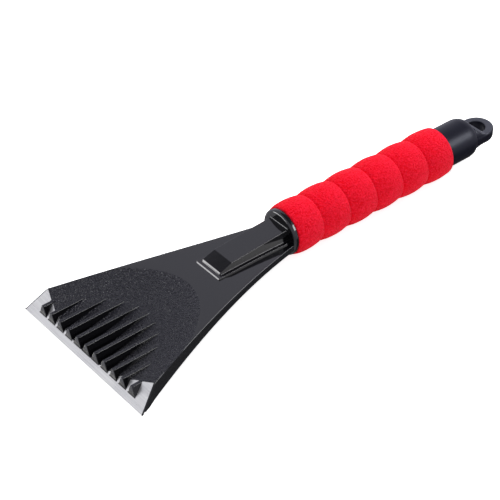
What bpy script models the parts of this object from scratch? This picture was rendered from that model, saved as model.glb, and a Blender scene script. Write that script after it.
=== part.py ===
"""Windshield ice scraper: a ribbed head, a metal blade, a core tube, a foam grip and a hanging cap.

Lengths are in millimetres and become metres where a mesh is made. X runs along the handle, from the blade's
edge towards the hanging loop, Y runs across it, and Z is up from the table that the scraper rests on.
"""

import math

import bpy
import bmesh

MM = 0.001

# Driving dimensions
LENGTH = 284.5
AXIS_HEIGHT = 15.3
GAP = 0.3

# Blade: a flat comb plate that lies in the sloped nose of the head
BLADE_HALF_WIDTH = 49.3
BLADE_SHOULDER = 44.55
BLADE_THICKNESS = 1.5
BLADE_GAP = 0.15
EDGE_LAND = 0.25

# Nose and outline of the head, seen from above
NOSE_RUN = 11.33
SHOULDER_HEIGHT = 10.9
TIP_HALF_WIDTH = 50.0
SHOULDER_HALF_WIDTH = 45.25
NECK_X = 131.0
NECK_HALF_WIDTH = 11.25
OUTLINE_PULL_FRONT = (73.5, 23.7)
OUTLINE_PULL_REAR = (102.2, 17.1)
PLASTIC_START = 2.9

# Crowned top and arched underside of the head: apex place, apex height and sag per square millimetre
CROWN_X = 95.0
CROWN_HEIGHT = 15.0
CROWN_SAG = 0.0006
ARCH_X = 110.0
ARCH_HEIGHT = 10.98
ARCH_SAG = 0.00103

# Scooped floor between the ribs: height, slope and curve along X, bowl across Y and its gain along X
SCOOP_HEIGHT = 2.585
SCOOP_SLOPE = 0.084
SCOOP_CURVE = 0.00143
SCOOP_BOWL = 0.0035
SCOOP_BOWL_GAIN = 0.000014
SCOOP_END = 70.0
SCOOP_HALF = 54.0
SCOOP_STEP = 3.5

# Facet length of the body, and how far joined shapes reach into each other and cutters reach past the body
NOSE_STATIONS = [0.0, 2.0, 2.9, 5.0, 6.75, 9.0]
BODY_STEP = 4.0
BODY_OVERLAP = 0.8
OVERLAP = 1.0
CUT_REACH = 5.0
CUT_CEILING = 40.0
TOE_HEIGHT = 0.9

# Chipper ribs
RIB_COUNT = 11
RIB_PITCH = 7.5
RIB_FRONT = 2.95
RIB_TOP = 8.6
RIB_BASE = 2.95
RIB_TOP_HALF = 0.85
RIB_BASE_HALF = 2.95
RIB_SINK = 1.0
RIB_LEDGE = 0.06

# Raised block and its plinth on the neck
PLINTH_FRONT = 79.4
PLINTH_HALF = 9.43
PLINTH_RISE = 0.82
PLINTH_SINK = 1.5
BLOCK_FRONT = 81.5
BLOCK_STEP = 16.88
BLOCK_BASE_HALF = 7.46
CHAMFER_END = 89.6
CHAMFER_HEIGHT = 19.7
BLOCK_REAR_HEIGHT = 21.95
BLOCK_TOP_HALF = 7.0
BLOCK_SINK = 2.0
CORE_START = 86.0
CORE_END = 122.0
CORE_HALF = 4.6
CORE_ROOF = 17.4

# Keel under the neck: at each end its x, its half-widths above and below, and its heights above and below
KEEL_FRONT = (94.0, 3.0, 2.0, 11.7, 10.6)
KEEL_REAR = (128.3, 8.0, 5.0, 13.0, 5.5)

# Collar and spigot
COLLAR_FRONT = 127.2
COLLAR_REAR = 130.0
COLLAR_RADIUS = 13.1
COLLAR_ROUND = 1.8
COLLAR_STEPS = 4
SPIGOT_RADIUS = 9.6
SPIGOT_BORE = 7.2
SPIGOT_LENGTH = 28.0
BARB_HEIGHT = 1.3
BARB_LENGTH = 5.0
BARB_SINK = 1.0
BARB_LEAD = 0.2
PLUG_CHAMFER = 1.0
BARB_WIDTH = 6.0
BARB_OFFSET = 14.0

# Underside pockets: skin above, wall and web beside, and bays as (start, end, lanes as shares of the width)
SKIN = 2.2
WALL = 2.2
WEB = 1.8
POCKET_REACH = 8.0
POCKET_STEPS = 5
BAYS = (
    (14.5, 46.0, ((0.34, 0.64), (0.64, 1.0))),
    (49.0, 81.0, ((0.0, 0.5), (0.5, 1.0))),
    (84.0, 118.0, ((0.5, 1.0),)),
)

# Tube, foam and cap
TUBE_RADIUS = 11.2
TUBE_BORE = 9.9
FOAM_REAR = 242.7
FOAM_BORE = 11.5
FOAM_CREST = 14.7
FOAM_VALLEY = 13.5
FOAM_FRONT_RADIUS = 13.2
FOAM_REAR_RADIUS = 14.05
FOAM_ROUND = 0.7
LOBES = 6
LOBE_PITCH = 19.1
FIRST_CREST = 138.1
LOBE_POWER = 1.3
BARREL_RADIUS = 11.75
BARREL_BEND = 260.0
BARREL_END = 265.3
BARREL_END_RADIUS = 9.4
PLUG_LENGTH = 20.0
PLUG_ROOF = 2.0

# Hanging loop: a rounded tongue that the cap pinches down to
LUG_HALF_WIDTH = 9.4
LUG_TOP = 2.6
LUG_BOTTOM = -3.4
LUG_DEPTH = 10.6
LUG_ROUND_TOP = 1.3
LUG_ROUND_BOTTOM = 0.9
ROOT_RADIUS = 9.4
ROOT_END = 274.2
ROOT_FLARE = 0.085
ROOT_STEP = 1.5
HOLE_FRONT = 273.1
HOLE_X = 273.2
HOLE_HALF = 5.4
HOLE_DEPTH = 6.0

# Facets
TURN_STEPS = 48
ALONG_STEP = 6.0
LOBE_STEPS = 7
LOOP_STEPS = 16
BEND_STEPS = 5


def clear_scene():
    for obj in list(bpy.data.objects):
        bpy.data.objects.remove(obj, do_unlink=True)


def plastic(name, colour, roughness, metallic=0.0):
    """A Principled material of one colour."""
    material = bpy.data.materials.new(name)
    material.use_nodes = True
    shader = material.node_tree.nodes["Principled BSDF"]
    shader.inputs["Base Color"].default_value = (*colour, 1.0)
    shader.inputs["Roughness"].default_value = roughness
    shader.inputs["Metallic"].default_value = metallic
    return material


def span(start, end, step):
    """Evenly spaced values from start to end, about a step apart."""
    count = max(1, round((end - start) / step))
    return [start + (end - start) * i / count for i in range(count + 1)]


# Surfaces of the head


def outline(x):
    """Half of the head's width at x: a straight flare beside the blade, then a hollow curve to the neck."""
    if x <= NOSE_RUN:
        return TIP_HALF_WIDTH + (SHOULDER_HALF_WIDTH - TIP_HALF_WIDTH) * x / NOSE_RUN
    points = (
        (NOSE_RUN, SHOULDER_HALF_WIDTH),
        OUTLINE_PULL_FRONT,
        OUTLINE_PULL_REAR,
        (NECK_X, NECK_HALF_WIDTH),
    )
    low, high = 0.0, 1.0
    for _ in range(40):
        t = (low + high) / 2
        weights = ((1 - t) ** 3, 3 * t * (1 - t) ** 2, 3 * t * t * (1 - t), t**3)
        if sum(w * p[0] for w, p in zip(weights, points)) < x:
            low = t
        else:
            high = t
    return sum(w * p[1] for w, p in zip(weights, points))


def bevel(x):
    """Height of the sloped nose plane."""
    return EDGE_LAND + (SHOULDER_HEIGHT - EDGE_LAND) * x / NOSE_RUN


def crown(x):
    return CROWN_HEIGHT - CROWN_SAG * (x - CROWN_X) ** 2


def arch(x):
    return max(0.0, ARCH_HEIGHT - ARCH_SAG * (x - ARCH_X) ** 2)


def scoop(x, y):
    bowl = (SCOOP_BOWL + SCOOP_BOWL_GAIN * x) * y * y
    return SCOOP_HEIGHT + SCOOP_SLOPE * x + SCOOP_CURVE * x * x + bowl


def scoop_start(y):
    """Where the scooped floor leaves the nose plane, at y."""
    rise = (SHOULDER_HEIGHT - EDGE_LAND) / NOSE_RUN
    a = SCOOP_CURVE
    b = SCOOP_SLOPE + SCOOP_BOWL_GAIN * y * y - rise
    c = SCOOP_HEIGHT + SCOOP_BOWL * y * y - EDGE_LAND
    return min(NOSE_RUN, (-b - math.sqrt(b * b - 4 * a * c)) / (2 * a))


def rib_half(z):
    """Half of a rib's width at height z: drafted down to its base, then upright."""
    share = (RIB_TOP - z) / (RIB_TOP - RIB_BASE)
    return RIB_TOP_HALF + (RIB_BASE_HALF - RIB_TOP_HALF) * min(1.0, share)


def rib_centres():
    middle = (RIB_COUNT - 1) / 2
    return [(i - middle) * RIB_PITCH for i in range(RIB_COUNT)]


# Mesh makers


def mesh_object(name, points, faces, material=None, origin=(0.0, 0.0, 0.0)):
    """An object from points in millimetres, whose own origin is put at one of them."""
    mesh = bpy.data.meshes.new(name)
    local = [[(p[i] - origin[i]) * MM for i in range(3)] for p in points]
    mesh.from_pydata(local, [], faces)
    clean_up = bmesh.new()
    clean_up.from_mesh(mesh)
    bmesh.ops.recalc_face_normals(clean_up, faces=clean_up.faces)
    if clean_up.calc_volume(signed=True) < 0:
        bmesh.ops.reverse_faces(clean_up, faces=clean_up.faces)
    clean_up.to_mesh(mesh)
    clean_up.free()
    obj = bpy.data.objects.new(name, mesh)
    bpy.context.scene.collection.objects.link(obj)
    obj.location = ((origin[0] - LENGTH / 2) * MM, origin[1] * MM, origin[2] * MM)
    if material:
        mesh.materials.append(material)
    return obj


def loft(name, rings, material=None, origin=(0.0, 0.0, 0.0)):
    """A closed solid through rings of equally many points, with a flat cap on each end."""
    count = len(rings[0])
    points = [p for ring in rings for p in ring]
    faces = []
    for i in range(len(rings) - 1):
        for j in range(count):
            k = (j + 1) % count
            a, b = i * count, (i + 1) * count
            faces.append((a + j, a + k, b + k, b + j))
    last = (len(rings) - 1) * count
    faces.append(tuple(range(count)))
    faces.append(tuple(last + j for j in reversed(range(count))))
    return mesh_object(name, points, faces, material, origin)


def band(name, stations, across, top, bottom):
    """A solid whose cross-section at each station x runs over the points that across(x) gives."""
    rings = []
    for x in stations:
        ys = across(x)
        upper = [(x, y, top(x, y)) for y in ys]
        lower = [(x, y, bottom(x, y)) for y in reversed(ys)]
        rings.append(upper + lower)
    return loft(name, rings)


def turned(name, profile, material=None, steps=TURN_STEPS, start=None):
    """A solid of revolution about the handle's axis, from a closed loop of (x, radius)."""
    start = profile[0][0] if start is None else start
    points, rows = [], []
    for x, radius in profile:
        if radius == 0:
            rows.append([len(points)] * steps)
            points.append((x, 0.0, AXIS_HEIGHT))
            continue
        rows.append(range(len(points), len(points) + steps))
        for k in range(steps):
            angle = 2 * math.pi * k / steps
            y, z = radius * math.cos(angle), radius * math.sin(angle)
            points.append((x, y, AXIS_HEIGHT + z))
    faces = []
    for one, other in zip(rows, rows[1:] + rows[:1]):
        if one[0] == one[1] and other[0] == other[1]:
            continue
        for k in range(steps):
            n = (k + 1) % steps
            corners = dict.fromkeys((one[k], one[n], other[n], other[k]))
            faces.append(tuple(corners))
    return mesh_object(name, points, faces, material, (start, 0.0, AXIS_HEIGHT))


def box(name, low, high):
    rings = []
    for x in (low[0], high[0]):
        corners = ((low[1], low[2]), (high[1], low[2]), (high[1], high[2]), (low[1], high[2]))
        rings.append([(x, y, z) for y, z in corners])
    return loft(name, rings)


def join(target, operation, *tools):
    """Boolean modifiers on target, whose tools stay as hidden helpers."""
    for tool in tools:
        tool.hide_render = True
        tool.display_type = "WIRE"
        modifier = target.modifiers.new(tool.name, "BOOLEAN")
        modifier.operation = operation
        modifier.object = tool
        modifier.solver = "EXACT"
    return target


def shade(obj, angle=35.0):
    obj.data.shade_smooth()
    obj.data.set_sharp_from_angle(angle=math.radians(angle))


# Blade


def comb_outline(grow):
    """Corners of the comb plate, as (x on the nose plane, y), wider by grow on every side."""
    slope = math.hypot(NOSE_RUN, SHOULDER_HEIGHT - EDGE_LAND) / NOSE_RUN
    step = grow / slope
    front = -2.0 if grow else 0.0
    side = (BLADE_SHOULDER - BLADE_HALF_WIDTH) / NOSE_RUN
    margin = RIB_LEDGE + BLADE_GAP - grow
    notch_front = RIB_FRONT - margin
    corners = [(front, BLADE_HALF_WIDTH + front * side + grow)]
    right = []
    for centre in reversed(rib_centres()):
        for edge in (1, -1):
            x = scoop_start(centre + edge * RIB_TOP_HALF)
            half = rib_half(bevel(x)) + margin
            near = rib_half(bevel(notch_front)) + margin
            rear = (x + step, centre + edge * half)
            fore = (notch_front, centre + edge * near)
            right += [rear, fore] if edge > 0 else [fore, rear]
    outer = max(rib_centres()) + rib_half(bevel(scoop_start(max(rib_centres()))))
    wing = span(BLADE_SHOULDER, outer, -2.0)[:-1]
    corners.append((NOSE_RUN + step, BLADE_SHOULDER + grow))
    corners += [(scoop_start(y) + step, y) for y in wing[1:]]
    corners += right
    corners += [(scoop_start(y) + step, -y) for y in reversed(wing[1:])]
    corners.append((NOSE_RUN + step, -BLADE_SHOULDER - grow))
    corners.append((front, -BLADE_HALF_WIDTH - front * side - grow))
    return corners


def comb_plate(name, grow, above, below, material=None):
    """The comb outline as a solid, from a height above the nose plane to a depth below it, square to it."""
    rise = (SHOULDER_HEIGHT - EDGE_LAND) / NOSE_RUN
    length = math.hypot(1.0, rise)
    normal = (-rise / length, 1.0 / length)
    rings = []
    for offset in (above, -below):
        rings.append(
            [
                (x + normal[0] * offset, y, bevel(x) + normal[1] * offset)
                for x, y in comb_outline(grow)
            ]
        )
    return loft(name, rings, material)


def make_blade(material):
    blade = comb_plate("blade", 0.0, 0.0, BLADE_THICKNESS, material)
    reach = TIP_HALF_WIDTH + 10.0
    below_table = box("cut_below_table", (-reach, -reach, -reach), (reach, reach, 0.0))
    return join(blade, "DIFFERENCE", below_table)


# Head


def make_ribs():
    ribs = []
    for i, centre in enumerate(rib_centres()):
        buried = RIB_TOP + RIB_SINK / 2
        end = next(x for x in span(RIB_FRONT, SCOOP_END, 0.5) if scoop(x, centre) > buried)
        rings = []
        for x in span(RIB_FRONT, end, ALONG_STEP):
            floor = min(scoop(x, centre), RIB_TOP) - RIB_SINK
            if x < NOSE_RUN:
                floor = max(0.4, min(floor, bevel(x) - 2 * BLADE_THICKNESS))
            heights = (floor, max(RIB_BASE, floor + 0.1), RIB_TOP)
            left = [(x, centre + rib_half(z), z) for z in heights]
            right = [(x, centre - rib_half(z), z) for z in reversed(heights)]
            rings.append(left + right)
        ribs.append(loft(f"rib_{i + 1}", rings))
    return ribs


def make_pockets():
    """Hollows under the head, between its skirt, its spine and its webs."""
    def roof(x, y):
        return min(crown(x), scoop(x, y)) - SKIN

    pockets = []
    for start, end, lanes in BAYS:
        for inner, outer in lanes:
            for side in (1, -1):

                def across(x):
                    low = inner * outline(x) + WEB / 2
                    high = outer * outline(x) - (WALL if outer == 1.0 else WEB / 2)
                    return [side * (low + (high - low) * k / POCKET_STEPS) for k in range(POCKET_STEPS + 1)]

                name = f"pocket_{len(pockets) + 1}"
                stations = span(start, end, ALONG_STEP)
                pockets.append(band(name, stations, across, roof, lambda x, y: arch(x) - POCKET_REACH))
    return pockets


def block_rings():
    """Cross-sections of the raised block: sloped front, drafted sides and a top that rises to the collar."""
    rise = (BLOCK_REAR_HEIGHT - CHAMFER_HEIGHT) / (COLLAR_FRONT - CHAMFER_END)
    end = COLLAR_FRONT + OVERLAP
    tops = ((BLOCK_FRONT, BLOCK_STEP), (CHAMFER_END, CHAMFER_HEIGHT), (end, BLOCK_REAR_HEIGHT + rise))
    low = CROWN_HEIGHT - BLOCK_SINK
    rings = []
    for x, top in tops:
        lean = (top - CROWN_HEIGHT) / (BLOCK_REAR_HEIGHT - CROWN_HEIGHT)
        half = BLOCK_BASE_HALF + (BLOCK_TOP_HALF - BLOCK_BASE_HALF) * lean
        left = [(x, BLOCK_BASE_HALF, low), (x, half, top)]
        right = [(x, -half, top), (x, -BLOCK_BASE_HALF, low)]
        rings.append(left + right)
    return rings


def keel_ring(x, upper_half, lower_half, upper, lower):
    return [(x, upper_half, upper), (x, lower_half, lower), (x, -lower_half, lower), (x, -upper_half, upper)]


def make_neck():
    """Plinth, raised block and the keel under the neck."""
    plinth = band(
        "plinth",
        span(PLINTH_FRONT, COLLAR_FRONT + OVERLAP, ALONG_STEP),
        lambda x: [-PLINTH_HALF, PLINTH_HALF],
        lambda x, y: crown(x) + PLINTH_RISE,
        lambda x, y: crown(x) - PLINTH_SINK,
    )
    block = loft("block", block_rings())
    keel = loft("keel", [keel_ring(*KEEL_FRONT), keel_ring(*KEEL_REAR)])
    return [plinth, block, keel]


def collar_profile():
    """Collar with a rounded front edge, then the hollow spigot that plugs into the tube."""
    profile = [(COLLAR_FRONT, 0.0)]
    centre_x = COLLAR_FRONT + COLLAR_ROUND
    centre_r = COLLAR_RADIUS - COLLAR_ROUND
    for k in range(COLLAR_STEPS + 1):
        angle = math.pi / 2 * k / COLLAR_STEPS
        x = centre_x - COLLAR_ROUND * math.cos(angle)
        profile.append((x, centre_r + COLLAR_ROUND * math.sin(angle)))
    end = COLLAR_REAR + SPIGOT_LENGTH
    profile += [
        (COLLAR_REAR, COLLAR_RADIUS),
        (COLLAR_REAR, SPIGOT_RADIUS),
        (end - PLUG_CHAMFER, SPIGOT_RADIUS),
        (end, SPIGOT_RADIUS - PLUG_CHAMFER),
        (end, SPIGOT_BORE),
        (COLLAR_REAR + PLUG_ROOF, SPIGOT_BORE),
        (COLLAR_REAR + PLUG_ROOF, 0.0),
    ]
    return profile


def barb(name, near, far, side):
    """A wedge on a plug's upper or lower side, which clicks into the tube's window. It is highest at far."""
    half = BARB_WIDTH / 2
    root = SPIGOT_RADIUS - BARB_SINK
    rings = []
    for x, tip in ((near, SPIGOT_RADIUS - BARB_LEAD), (far, SPIGOT_RADIUS + BARB_HEIGHT)):
        corners = ((-half, root), (half, root), (half, tip), (-half, tip))
        rings.append([(x, y, AXIS_HEIGHT + side * z) for y, z in corners])
    return loft(name, rings)


def make_head(material):
    head = band(
        "scraper_head",
        NOSE_STATIONS + span(NOSE_RUN, COLLAR_FRONT + BODY_OVERLAP, BODY_STEP),
        lambda x: [-outline(x), outline(x)],
        lambda x, y: bevel(x) if x < NOSE_RUN else crown(x),
        lambda x, y: arch(x),
    )
    head.data.materials.append(material)
    scoop_cut = band(
        "cut_scoop",
        span(-CUT_REACH, SCOOP_END, SCOOP_STEP),
        lambda x: span(-SCOOP_HALF, SCOOP_HALF, BODY_STEP),
        lambda x, y: CUT_CEILING,
        scoop,
    )
    toe_half = BLADE_HALF_WIDTH + BLADE_GAP
    toe = box("cut_toe", (-CUT_REACH, -toe_half, -CUT_REACH), (PLASTIC_START, toe_half, TOE_HEIGHT))
    seat = comb_plate("cut_blade_seat", BLADE_GAP, CUT_REACH, BLADE_THICKNESS + BLADE_GAP)
    spigot = turned("spigot", collar_profile(), steps=TURN_STEPS, start=COLLAR_FRONT)
    barb_x = COLLAR_REAR + BARB_OFFSET
    barbs = [barb(f"head_barb_{side}", barb_x + BARB_LENGTH, barb_x, side) for side in (1, -1)]
    core = box("cut_block_core", (CORE_START, -CORE_HALF, 0.0), (CORE_END, CORE_HALF, CORE_ROOF))
    join(head, "UNION", *make_neck(), spigot, *barbs)
    join(head, "DIFFERENCE", scoop_cut)
    join(head, "UNION", *make_ribs())
    join(head, "DIFFERENCE", *make_pockets(), core, seat, toe)
    shade(head)
    return head


# Handle


def lobe_profile():
    """Outer foam profile from front to rear, as (x, radius): six lobes with tight grooves between them."""
    half = LOBE_PITCH / 2
    start = COLLAR_REAR + GAP
    profile = []
    for k in range(LOBE_STEPS + 1):
        share = k / LOBE_STEPS
        x = start + (FIRST_CREST - start) * (1 - math.cos(share * math.pi / 2))
        bulge = math.sqrt(max(0.0, 1 - ((FIRST_CREST - x) / (FIRST_CREST - start)) ** 2))
        profile.append((x, FOAM_FRONT_RADIUS + (FOAM_CREST - FOAM_FRONT_RADIUS) * bulge))
    for k in range(1, (LOBES - 1) * LOBE_STEPS + 1):
        x = FIRST_CREST + LOBE_PITCH * k / LOBE_STEPS
        share = ((x - FIRST_CREST + half) / LOBE_PITCH) % 1.0
        swell = math.sin(math.pi * share) ** LOBE_POWER
        profile.append((x, FOAM_VALLEY + (FOAM_CREST - FOAM_VALLEY) * swell))
    last = FIRST_CREST + LOBE_PITCH * (LOBES - 1)
    edge = FOAM_REAR - FOAM_ROUND
    for k in range(1, LOBE_STEPS + 1):
        share = k / LOBE_STEPS
        fall = (FOAM_CREST - FOAM_REAR_RADIUS) * share * share
        profile.append((last + (edge - last) * share, FOAM_CREST - fall))
    for angle in (45, 90):
        x = edge + FOAM_ROUND * math.sin(math.radians(angle))
        profile.append((x, FOAM_REAR_RADIUS - FOAM_ROUND * (1 - math.cos(math.radians(angle)))))
    return profile


def make_foam(material):
    profile = lobe_profile() + [(FOAM_REAR, FOAM_BORE), (COLLAR_REAR + GAP, FOAM_BORE)]
    foam = turned("foam_grip", profile, material)
    shade(foam)
    return foam


def make_tube(material):
    start, end = COLLAR_REAR + GAP, FOAM_REAR
    profile = [(start, TUBE_BORE), (start, TUBE_RADIUS), (end, TUBE_RADIUS), (end, TUBE_BORE)]
    tube = turned("handle_tube", profile, material)
    head_barb = COLLAR_REAR + BARB_OFFSET
    cap_barb = FOAM_REAR + GAP - BARB_OFFSET
    half = BARB_WIDTH / 2 + GAP
    reach = AXIS_HEIGHT + 2 * TUBE_RADIUS
    windows = []
    for near in (head_barb - GAP, cap_barb - BARB_LENGTH - GAP):
        far = near + BARB_LENGTH + 2 * GAP
        name = f"cut_window_{len(windows) + 1}"
        windows.append(box(name, (near, -half, -reach), (far, half, reach)))
    join(tube, "DIFFERENCE", *windows)
    shade(tube)
    return tube


def half_round(back, centre, half, depth):
    """Plan of a shape with a straight side at back and a half-elliptical end towards +X."""
    points = [(back, -half)]
    for k in range(LOOP_STEPS + 1):
        angle = math.pi * (k / LOOP_STEPS - 0.5)
        points.append((centre + depth * math.cos(angle), half * math.sin(angle)))
    points.append((back, half))
    return points


def make_tongue():
    """The flat loop plate, with rounded upper and lower edges."""
    layers = []
    for edge, inward, radius, order in (
        (LUG_BOTTOM, 1, LUG_ROUND_BOTTOM, (0, 45, 90)),
        (LUG_TOP, -1, LUG_ROUND_TOP, (90, 45, 0)),
    ):
        for angle in order:
            z = edge + inward * radius * (1 - math.cos(math.radians(angle)))
            inset = radius * (1 - math.sin(math.radians(angle)))
            size = (LUG_HALF_WIDTH - inset, LUG_DEPTH - inset)
            plan = half_round(BARREL_END - 2.0, LENGTH - LUG_DEPTH, *size)
            layers.append([(x, y, AXIS_HEIGHT + z) for x, y in plan])
    return loft("loop", layers)


def make_root():
    """The blend between the cap's round end and the tongue: a rod pinched more and more towards its tip."""

    def across(x):
        return span(-ROOT_RADIUS + 0.1, ROOT_RADIUS - 0.1, 2.0)

    def half_height(x, y):
        pinch = LUG_TOP - 0.1 + ROOT_FLARE * (ROOT_END - x) ** 2
        return min(pinch, math.sqrt(ROOT_RADIUS**2 - y * y))

    return band(
        "root",
        span(BARREL_END - OVERLAP, ROOT_END, ROOT_STEP),
        across,
        lambda x, y: AXIS_HEIGHT + half_height(x, y),
        lambda x, y: AXIS_HEIGHT - half_height(x, y),
    )


def barrel_profile():
    """The cap's plug, barrel and rounded end as a closed loop of (x, radius)."""
    start = FOAM_REAR + GAP
    profile = [
        (start - PLUG_LENGTH, SPIGOT_BORE),
        (start - PLUG_LENGTH, SPIGOT_RADIUS - PLUG_CHAMFER),
        (start - PLUG_LENGTH + PLUG_CHAMFER, SPIGOT_RADIUS),
        (start, SPIGOT_RADIUS),
        (start, BARREL_RADIUS),
    ]
    for k in range(BEND_STEPS + 1):
        angle = math.pi / 2 * k / BEND_STEPS
        x = BARREL_BEND + (BARREL_END - BARREL_BEND) * math.sin(angle)
        fall = (BARREL_RADIUS - BARREL_END_RADIUS) * (1 - math.cos(angle))
        profile.append((x, BARREL_RADIUS - fall))
    profile += [(BARREL_END, 0.0), (start + PLUG_ROOF, 0.0), (start + PLUG_ROOF, SPIGOT_BORE)]
    return profile


def make_cap(material):
    start = FOAM_REAR + GAP
    cap = turned("end_cap", barrel_profile(), material, start=start)
    barb_x = start - BARB_OFFSET
    barbs = [barb(f"cap_barb_{side}", barb_x - BARB_LENGTH, barb_x, side) for side in (1, -1)]
    plan = half_round(HOLE_FRONT, HOLE_X, HOLE_HALF, HOLE_DEPTH)
    layers = [[(x, y, AXIS_HEIGHT + z) for x, y in plan] for z in (-FOAM_CREST, FOAM_CREST)]
    opening = loft("cut_loop", layers)
    join(cap, "UNION", make_root(), make_tongue(), *barbs)
    join(cap, "DIFFERENCE", opening)
    shade(cap)
    return cap


def main():
    clear_scene()
    gloss_black = plastic("gloss_black", (0.012, 0.012, 0.014), 0.18)
    satin_black = plastic("satin_black", (0.02, 0.02, 0.022), 0.42)
    steel = plastic("brushed_blade", (0.62, 0.62, 0.63), 0.3, 1.0)
    red_foam = plastic("red_foam", (0.75, 0.008, 0.02), 0.9)
    tube_metal = plastic("tube_aluminium", (0.6, 0.6, 0.61), 0.4, 1.0)
    make_head(gloss_black)
    make_blade(steel)
    make_tube(tube_metal)
    make_foam(red_foam)
    make_cap(satin_black)


main()
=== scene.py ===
"""Looks of the windshield ice scraper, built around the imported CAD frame.

Lengths are in millimetres and become metres where a mesh is made. x runs from the blade's edge along the
handle, y across the head and z up from the table. Each visible piece repeats its CAD solid's shape with
finer facets, rounded edges and a surface grain. The stage, its lights and its camera are in metres.
"""

import math

import bmesh
import bpy
from mathutils import Matrix, Vector, noise


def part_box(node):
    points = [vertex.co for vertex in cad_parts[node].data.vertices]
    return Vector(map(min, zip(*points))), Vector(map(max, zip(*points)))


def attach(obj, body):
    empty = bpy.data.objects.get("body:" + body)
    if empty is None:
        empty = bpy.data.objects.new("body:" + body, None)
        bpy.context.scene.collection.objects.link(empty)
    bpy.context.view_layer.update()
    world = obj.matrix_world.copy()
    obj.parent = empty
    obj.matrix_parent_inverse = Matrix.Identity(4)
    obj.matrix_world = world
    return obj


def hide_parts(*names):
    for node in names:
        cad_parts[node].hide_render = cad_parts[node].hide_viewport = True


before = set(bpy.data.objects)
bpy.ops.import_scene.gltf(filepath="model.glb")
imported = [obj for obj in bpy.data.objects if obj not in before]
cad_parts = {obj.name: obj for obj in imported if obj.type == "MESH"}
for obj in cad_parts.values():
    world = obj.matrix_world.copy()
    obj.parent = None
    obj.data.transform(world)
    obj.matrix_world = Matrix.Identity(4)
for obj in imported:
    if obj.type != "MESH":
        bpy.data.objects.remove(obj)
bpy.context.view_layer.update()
MM = 0.001

# Places taken from the frame
EDGE_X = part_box("blade")[0].x / MM
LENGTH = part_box("end_cap")[1].x / MM - EDGE_X
AXIS_HEIGHT = (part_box("handle_tube")[0].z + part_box("handle_tube")[1].z) / 2 / MM
FOAM_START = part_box("foam_grip")[0].x / MM - EDGE_X
FOAM_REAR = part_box("foam_grip")[1].x / MM - EDGE_X
FOAM_CREST = (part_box("foam_grip")[1].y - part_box("foam_grip")[0].y) / 2 / MM
TIP_HALF_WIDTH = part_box("scraper_head")[1].y / MM
BLADE_HALF_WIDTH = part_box("blade")[1].y / MM
SHOULDER_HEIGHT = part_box("blade")[1].z / MM
GAP = 0.3

# Blade
BLADE_SHOULDER = 44.55
BLADE_THICKNESS = 1.5
BLADE_GAP = 0.15
EDGE_LAND = 0.25
BLADE_ROUND = 0.18
BLADE_BEVEL_ANGLE = 30
BLADE_CREASE_ANGLE = 40
# Blade faces steeper than this tilt get the nearly black edge metal, which is painted shade along the
# rounded edges
BLADE_FACE_TILT = 0.7
WING_STEP = 1.0
TABLE_CUT_REACH = 10.0

# Cuts in the head for the blade's seat and under its front edge
SEAT_REACH = 2.0
SEAT_CEILING = 3.0
TOE_REACH = 5.0
TOE_HEIGHT = 0.9

# Nose and outline of the head, seen from above
NOSE_RUN = 11.33
SHOULDER_HALF_WIDTH = 45.25
NECK_X = 131.0
NECK_HALF_WIDTH = 11.25
OUTLINE_PULL_FRONT = (73.5, 23.7)
OUTLINE_PULL_REAR = (102.2, 17.1)
NOSE_RISE = (SHOULDER_HEIGHT - EDGE_LAND) / NOSE_RUN
PLASTIC_START = 2.9
NOSE_STATIONS = (0.0, 1.0, 2.0, PLASTIC_START, 4.0, 5.0, 6.0, 6.75, 8.0, 9.0, 10.0)
BODY_STEP = 1.6
BODY_OVERLAP = 0.8
BODY_ROUND = 0.45
EDGE_STEPS = 5
ROUND_SHARE = 0.4
OUTLINE_HALVINGS = 40
HEAD_CREASE_ANGLE = 38

# Crowned top and arched underside of the head
CROWN_X = 95.0
CROWN_HEIGHT = 15.0
CROWN_SAG = 0.0006
ARCH_X = 110.0
ARCH_HEIGHT = 10.98
ARCH_SAG = 0.00103

# Scooped floor between the ribs
SCOOP_HEIGHT = 2.585
SCOOP_SLOPE = 0.084
SCOOP_CURVE = 0.00143
SCOOP_BOWL = 0.0035
SCOOP_BOWL_GAIN = 0.000014
SCOOP_END = 70.0
SCOOP_HALF = 54.0
SCOOP_START = -3.0
SCOOP_CEILING = 40.0
SCOOP_STEP = 1.25
SCOOP_CROSS_STEP = 2.0

# How near a face has to be to the scooped floor or the ribs' tops, and how level, to be grained
FLOOR_TOLERANCE = 0.06
CROWN_MARGIN = 0.005
FLOOR_TILT = 0.5
RIB_TOLERANCE = 0.02
RIB_TOP_TILT = 0.9

# Chipper ribs
RIB_COUNT = 11
RIB_PITCH = 7.5
RIB_FRONT = 2.95
RIB_TOP = 8.6
RIB_BASE = 2.95
RIB_TOP_HALF = 0.85
RIB_BASE_HALF = 2.95
RIB_SINK = 1.0
RIB_LEDGE = 0.06
RIB_ROUND = 0.3
RIB_ROUND_STEPS = 3
RIB_FRONT_ROUND = 0.2
RIB_SHOULDER = 0.1
RIB_LEAST_SIDE = 0.1
RIB_FOOT = 0.4
RIB_STEP = 3.0
RIB_END_STEP = 0.5

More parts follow.
